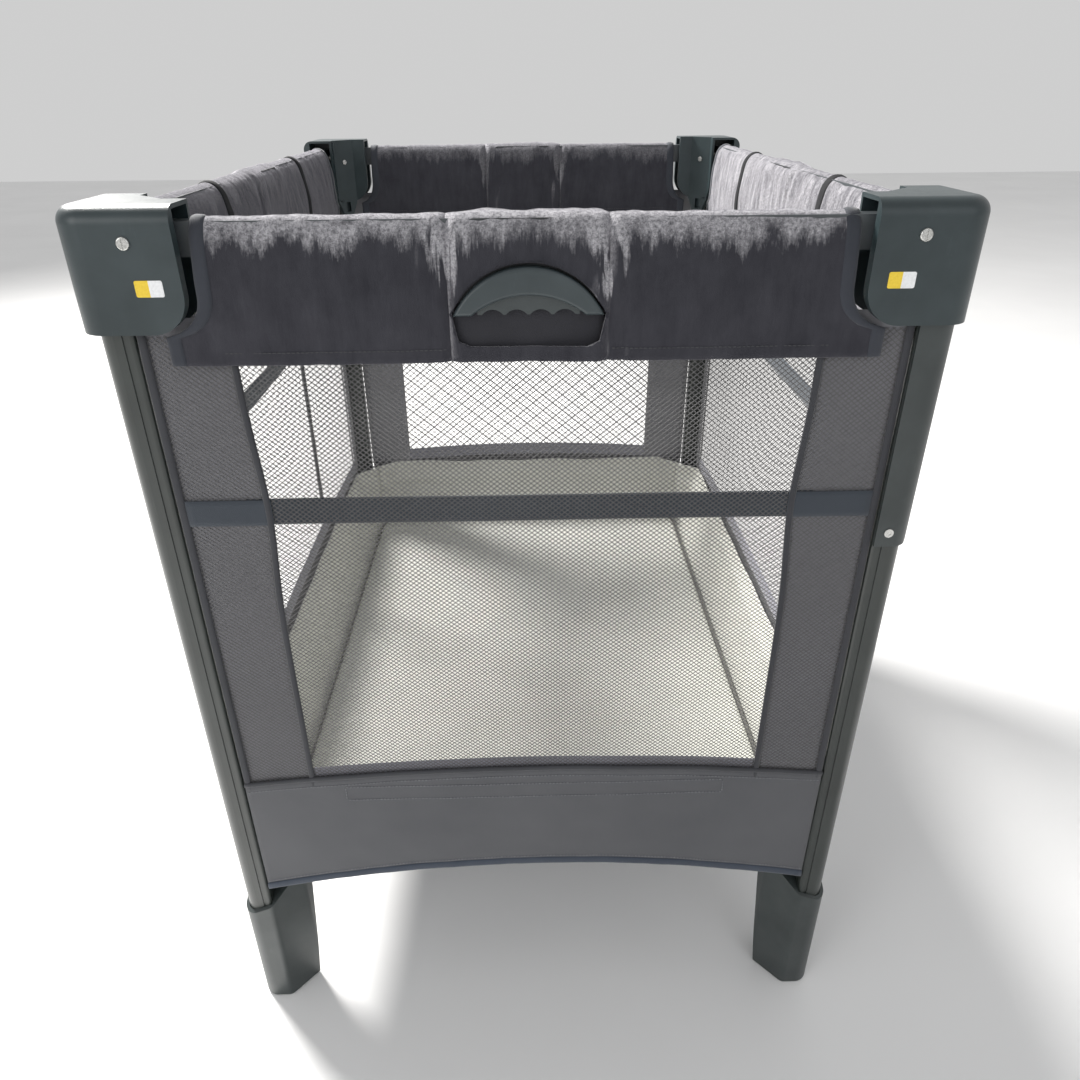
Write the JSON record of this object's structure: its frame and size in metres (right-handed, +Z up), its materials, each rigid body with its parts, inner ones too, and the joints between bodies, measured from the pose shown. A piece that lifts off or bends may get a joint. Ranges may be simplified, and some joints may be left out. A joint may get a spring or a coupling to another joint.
{
  "type": "travel play yard",
  "caption": "Rectangular folding travel play yard with corner legs, padded top rails, netting walls, a floor hub and a mattress pad.",
  "frame": {"origin": "on the floor under the centre of the standing play yard", "axes": "+X across the front, +Y from front to back, +Z up"},
  "size_m": [0.6032, 0.784, 0.798],
  "materials": {
    "housing_plastic": "moulded, satin",
    "foot_plastic": "moulded, satin",
    "leg_paint": "powder coat, satin",
    "rail_paint": "powder coat, satin",
    "bolt_steel": "zinc plated",
    "cover_velour": "short pile velour",
    "wall_fabric": "woven polyester and netting",
    "grip_plastic": "moulded, satin",
    "trigger_plastic": "moulded, satin",
    "lock_plastic": "moulded, matt",
    "webbing": "woven webbing",
    "liner_fabric": "smooth woven polyester",
    "mattress_fabric": "smooth woven polyester"
  },
  "bodies": {
    "leg_front_left": {"housing_front_left": "housing_plastic", "leg_tube_front_left": "leg_paint", "foot_front_left": "foot_plastic", "corner_bolts_front_left": "bolt_steel", "front_wall": "wall_fabric", "left_wall": "wall_fabric"},
    "leg_front_right": {"housing_front_right": "housing_plastic", "leg_tube_front_right": "leg_paint", "foot_front_right": "foot_plastic", "corner_bolts_front_right": "bolt_steel", "leg_sleeve_front_right": "foot_plastic", "right_wall": "wall_fabric"},
    "leg_back_left": {"housing_back_left": "housing_plastic", "leg_tube_back_left": "leg_paint", "foot_back_left": "foot_plastic", "corner_bolts_back_left": "bolt_steel", "back_wall": "wall_fabric"},
    "leg_back_right": {"housing_back_right": "housing_plastic", "leg_tube_back_right": "leg_paint", "foot_back_right": "foot_plastic", "corner_bolts_back_right": "bolt_steel"},
    "front_rail_left": {"front_rail_left": "rail_paint"},
    "front_rail_right": {"front_rail_right": "rail_paint"},
    "front_trigger": {"front_trigger": "trigger_plastic"},
    "front_lock": {"front_lock_housing": "lock_plastic", "front_lock_pins": "bolt_steel", "front_rail_cover": "cover_velour", "front_crescent_grip": "grip_plastic"},
    "back_rail_left": {"back_rail_left": "rail_paint"},
    "back_rail_right": {"back_rail_right": "rail_paint"},
    "back_trigger": {"back_trigger": "trigger_plastic"},
    "back_lock": {"back_lock_housing": "lock_plastic", "back_lock_pins": "bolt_steel", "back_rail_cover": "cover_velour", "back_crescent_grip": "grip_plastic"},
    "left_rail_front": {"left_rail_front": "rail_paint"},
    "left_rail_back": {"left_rail_back": "rail_paint"},
    "left_release_button": {"left_release_button": "trigger_plastic"},
    "left_lock": {"left_lock_housing": "lock_plastic", "left_lock_pins": "bolt_steel", "left_rail_cover": "cover_velour"},
    "right_rail_front": {"right_rail_front": "rail_paint"},
    "right_rail_back": {"right_rail_back": "rail_paint"},
    "right_release_button": {"right_release_button": "trigger_plastic"},
    "right_lock": {"right_lock_housing": "lock_plastic", "right_lock_pins": "bolt_steel", "right_rail_cover": "cover_velour"},
    "floor_arm_front_left": {"floor_arm_front_left": "rail_paint"},
    "floor_arm_front_right": {"floor_arm_front_right": "rail_paint"},
    "floor_arm_back_left": {"floor_arm_back_left": "rail_paint"},
    "floor_arm_back_right": {"floor_arm_back_right": "rail_paint"},
    "hub": {"hub_base": "lock_plastic", "hub_cap": "lock_plastic", "hub_pins": "bolt_steel", "hub_pull_strap": "webbing", "floor_fabric": "liner_fabric"},
    "mattress": {"mattress_pad": "mattress_fabric"}
  },
  "joints": [
    {"name": "frame_fold", "type": "hinge", "parent": "leg_front_left", "child": "front_rail_left", "pos_m": [-0.254, -0.369, 0.776], "axis": [0, 1, 0], "range_deg": [0, 85], "deforming": ["front_wall", "left_wall", "right_wall", "back_wall", "front_rail_cover", "back_rail_cover", "left_rail_cover", "right_rail_cover", "floor_fabric", "mattress_pad"]},
    {"name": "front_lock_left_hinge", "type": "hinge", "parent": "front_rail_left", "child": "front_lock", "pos_m": [-0.03, -0.369, 0.776], "axis": [0, 1, 0], "range_deg": [-85, 0]},
    {"name": "front_lock_right_hinge", "type": "hinge", "parent": "front_lock", "child": "front_rail_right", "pos_m": [0.03, -0.369, 0.776], "axis": [0, 1, 0], "range_deg": [-85, 0]},
    {"name": "front_right_corner_hinge", "type": "hinge", "parent": "front_rail_right", "child": "leg_front_right", "pos_m": [0.254, -0.369, 0.776], "axis": [0, 1, 0], "range_deg": [0, 85]},
    {"name": "left_front_corner_hinge", "type": "hinge", "parent": "leg_front_left", "child": "left_rail_front", "pos_m": [-0.279, -0.343, 0.776], "axis": [-1, 0, 0], "range_deg": [0, 85]},
    {"name": "left_lock_front_hinge", "type": "hinge", "parent": "left_rail_front", "child": "left_lock", "pos_m": [-0.279, -0.03, 0.776], "axis": [-1, 0, 0], "range_deg": [-85, 0]},
    {"name": "left_lock_back_hinge", "type": "hinge", "parent": "left_lock", "child": "left_rail_back", "pos_m": [-0.279, 0.03, 0.776], "axis": [-1, 0, 0], "range_deg": [-85, 0]},
    {"name": "left_back_corner_hinge", "type": "hinge", "parent": "left_rail_back", "child": "leg_back_left", "pos_m": [-0.279, 0.343, 0.776], "axis": [-1, 0, 0], "range_deg": [0, 85]},
    {"name": "right_front_corner_hinge", "type": "hinge", "parent": "leg_front_right", "child": "right_rail_front", "pos_m": [0.279, -0.343, 0.776], "axis": [-1, 0, 0], "range_deg": [0, 85]},
    {"name": "right_lock_front_hinge", "type": "hinge", "parent": "right_rail_front", "child": "right_lock", "pos_m": [0.279, -0.03, 0.776], "axis": [-1, 0, 0], "range_deg": [-85, 0]},
    {"name": "right_lock_back_hinge", "type": "hinge", "parent": "right_lock", "child": "right_rail_back", "pos_m": [0.279, 0.03, 0.776], "axis": [-1, 0, 0], "range_deg": [-85, 0]},
    {"name": "right_back_corner_hinge", "type": "hinge", "parent": "right_rail_back", "child": "leg_back_right", "pos_m": [0.279, 0.343, 0.776], "axis": [-1, 0, 0], "range_deg": [0, 85]},
    {"name": "back_left_corner_hinge", "type": "hinge", "parent": "leg_back_left", "child": "back_rail_left", "pos_m": [-0.254, 0.369, 0.776], "axis": [0, 1, 0], "range_deg": [0, 85]},
    {"name": "back_lock_left_hinge", "type": "hinge", "parent": "back_rail_left", "child": "back_lock", "pos_m": [-0.03, 0.369, 0.776], "axis": [0, 1, 0], "range_deg": [-85, 0]},
    {"name": "back_right_corner_hinge", "type": "hinge", "parent": "leg_back_right", "child": "back_rail_right", "pos_m": [0.254, 0.369, 0.776], "axis": [0, -1, 0], "range_deg": [0, 85]},
    {"name": "arm_front_left_hinge", "type": "hinge", "parent": "leg_front_left", "child": "floor_arm_front_left", "pos_m": [-0.25194, -0.35203, 0.172], "axis": [0.8132, -0.582, 0], "range_deg": [0, 85]},
    {"name": "hub_hinge", "type": "hinge", "parent": "floor_arm_front_left", "child": "hub", "pos_m": [-0.02794, -0.03903, 0.172], "axis": [0.8132, -0.582, 0], "range_deg": [-85, 0]},
    {"name": "arm_front_right_hinge", "type": "hinge", "parent": "leg_front_right", "child": "floor_arm_front_right", "pos_m": [0.25194, -0.35203, 0.172], "axis": [0.8132, 0.582, 0], "range_deg": [0, 85]},
    {"name": "arm_back_left_hinge", "type": "hinge", "parent": "leg_back_left", "child": "floor_arm_back_left", "pos_m": [-0.25194, 0.35203, 0.172], "axis": [-0.8132, -0.582, 0], "range_deg": [0, 85]},
    {"name": "arm_back_right_hinge", "type": "hinge", "parent": "leg_back_right", "child": "floor_arm_back_right", "pos_m": [0.25194, 0.35203, 0.172], "axis": [-0.8132, 0.582, 0], "range_deg": [0, 85]},
    {"name": "mattress_lift", "type": "slide", "parent": "hub", "child": "mattress", "axis": [0, 0, 1], "range_m": [0, 0.2605]},
    {"name": "front_trigger_squeeze", "type": "slide", "parent": "front_lock", "child": "front_trigger", "axis": [0, 0, 1], "range_m": [0, 0.005], "stiffness_N_per_m": 400, "springref_m": -0.003},
    {"name": "back_trigger_squeeze", "type": "slide", "parent": "back_lock", "child": "back_trigger", "axis": [0, 0, 1], "range_m": [0, 0.005], "stiffness_N_per_m": 400, "springref_m": -0.003},
    {"name": "left_release_button_press", "type": "slide", "parent": "left_lock", "child": "left_release_button", "axis": [0, 0, 1], "range_m": [0, 0.005], "stiffness_N_per_m": 400, "springref_m": -0.003},
    {"name": "right_release_button_press", "type": "slide", "parent": "right_lock", "child": "right_release_button", "axis": [0, 0, 1], "range_m": [0, 0.005], "stiffness_N_per_m": 400, "springref_m": -0.003}
  ],
  "couplings": [
    {"joint": "front_lock_left_hinge", "follows": "frame_fold", "ratio": -1},
    {"joint": "front_lock_right_hinge", "follows": "frame_fold", "ratio": -1},
    {"joint": "front_right_corner_hinge", "follows": "frame_fold", "ratio": 1},
    {"joint": "left_front_corner_hinge", "follows": "frame_fold", "ratio": 1},
    {"joint": "left_lock_front_hinge", "follows": "frame_fold", "ratio": -1},
    {"joint": "left_lock_back_hinge", "follows": "frame_fold", "ratio": -1},
    {"joint": "left_back_corner_hinge", "follows": "frame_fold", "ratio": 1},
    {"joint": "right_front_corner_hinge", "follows": "frame_fold", "ratio": 1},
    {"joint": "right_lock_front_hinge", "follows": "frame_fold", "ratio": -1},
    {"joint": "right_lock_back_hinge", "follows": "frame_fold", "ratio": -1},
    {"joint": "right_back_corner_hinge", "follows": "frame_fold", "ratio": 1},
    {"joint": "back_left_corner_hinge", "follows": "frame_fold", "ratio": 1},
    {"joint": "back_lock_left_hinge", "follows": "frame_fold", "ratio": -1},
    {"joint": "back_right_corner_hinge", "follows": "frame_fold", "ratio": 1},
    {"joint": "arm_front_left_hinge", "follows": "frame_fold", "ratio": 1},
    {"joint": "hub_hinge", "follows": "frame_fold", "ratio": -1},
    {"joint": "arm_front_right_hinge", "follows": "frame_fold", "ratio": 1},
    {"joint": "arm_back_left_hinge", "follows": "frame_fold", "ratio": 1},
    {"joint": "arm_back_right_hinge", "follows": "frame_fold", "ratio": 1},
    {"joint": "mattress_lift", "follows": "frame_fold", "m_per_rad": 0.17526}
  ]
}
